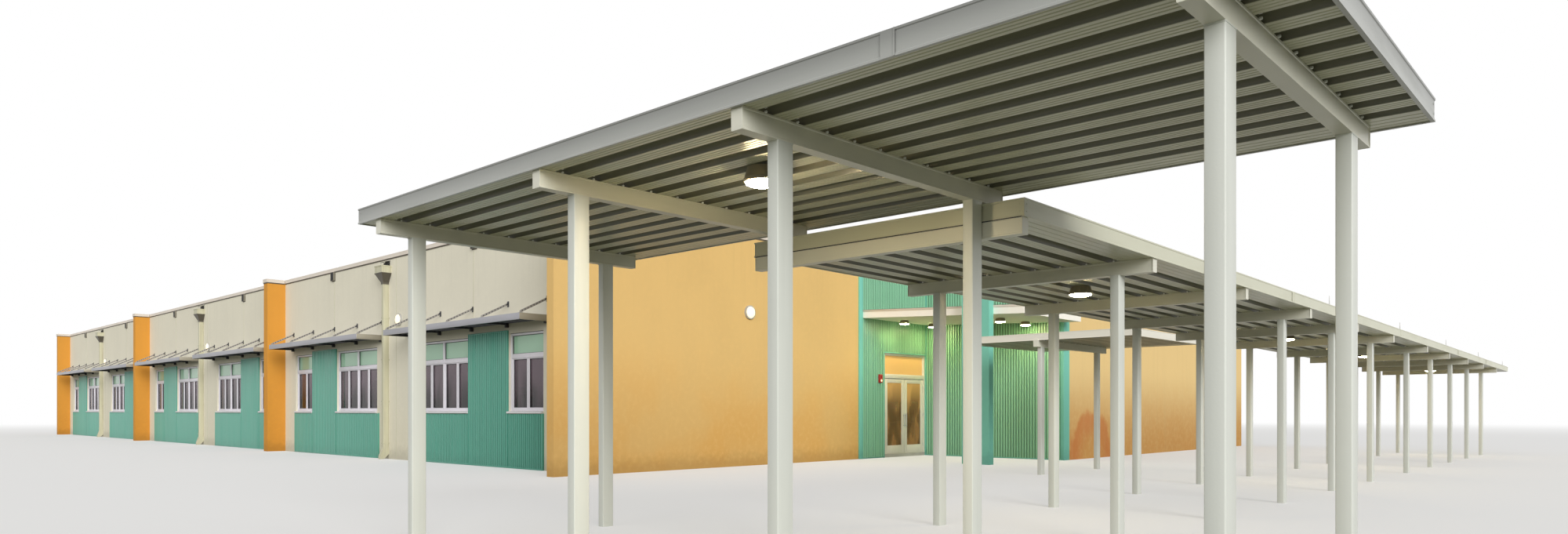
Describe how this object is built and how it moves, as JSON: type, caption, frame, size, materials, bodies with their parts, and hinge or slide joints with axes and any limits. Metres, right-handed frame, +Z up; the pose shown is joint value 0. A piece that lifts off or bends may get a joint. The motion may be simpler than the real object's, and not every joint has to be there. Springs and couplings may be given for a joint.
{
  "type": "school building, 1:2 scale model",
  "caption": "Long single-storey school building with fins, sunshades, corrugated cladding, a recessed entrance court with double doors and aluminium covered ways.",
  "frame": {"origin": "on the ground, at the middle of the whole building with its covered ways, seen from above", "axes": "+X along the long front towards the entrance end, +Y from the front into the building, +Z up"},
  "size_m": [34.5364, 18.232, 2.99],
  "materials": {
    "concrete": "smooth concrete",
    "cream_stucco": "painted fine stucco",
    "white_stucco": "painted fine stucco",
    "orange_stucco": "painted fine stucco",
    "teal_paint": "painted fine stucco",
    "teal_metal": "factory-painted corrugated sheet",
    "roof_membrane": "pale roofing membrane",
    "white_metal": "satin powder coat",
    "deck_metal": "satin painted roll-formed sheet",
    "window_metal": "painted extrusion",
    "window_glass": "clear",
    "shade_metal": "satin silver paint",
    "dark_metal": "dark painted",
    "pipe_paint": "painted to match the wall",
    "lamp_glass": "frosted diffuser",
    "red_plastic": "moulded",
    "handle_steel": "brushed"
  },
  "bodies": {
    "building": {"floor_slab": "concrete", "front_wall": "cream_stucco", "rear_wall": "cream_stucco", "near_end_wall": "orange_stucco", "far_end_wall": "orange_stucco", "entrance_wall": "teal_paint", "over_door_wall": "teal_paint", "court_wall": "teal_paint", "wing_end_wall": "orange_stucco", "roof_slab": "roof_membrane", "coping": "white_metal", "fins": "orange_stucco", "corrugated_panels": "teal_metal", "court_panels": "teal_metal", "window_frames": "window_metal", "window_glass": "window_glass", "window_sills": "cream_stucco", "sunshades": "shade_metal", "sunshade_struts": "dark_metal", "downpipes": "pipe_paint", "overflow_scuppers": "dark_metal", "wall_lights": "lamp_glass", "entrance_canopy": "white_stucco", "entrance_pier": "teal_paint", "entrance_lights": "lamp_glass", "alarm_horn": "red_plastic", "entrance_frame": "window_metal", "transom_glass": "window_glass", "dropoff_posts": "white_metal", "dropoff_beams": "white_metal", "dropoff_deck": "deck_metal", "dropoff_edge": "white_metal", "dropoff_lights": "lamp_glass", "walkway_posts": "white_metal", "walkway_beams": "white_metal", "walkway_deck": "deck_metal", "walkway_edge": "white_metal", "walkway_lights": "lamp_glass", "link_posts": "white_metal", "link_beams": "white_metal", "link_deck": "deck_metal", "link_edge": "white_metal"},
    "left_door": {"left_door": "window_metal", "left_door_glass": "window_glass", "left_door_pull": "handle_steel"},
    "right_door": {"right_door": "window_metal", "right_door_glass": "window_glass", "right_door_pull": "handle_steel"}
  },
  "joints": [
    {"name": "left_door_hinge", "type": "hinge", "parent": "building", "child": "left_door", "pos_m": [9.22675, 0.287, 0.6], "axis": [0, 0, -1], "range_deg": [0, 90]},
    {"name": "right_door_hinge", "type": "hinge", "parent": "building", "child": "right_door", "pos_m": [9.22675, 1.29, 0.6], "axis": [0, 0, 1], "range_deg": [0, 90]}
  ]
}
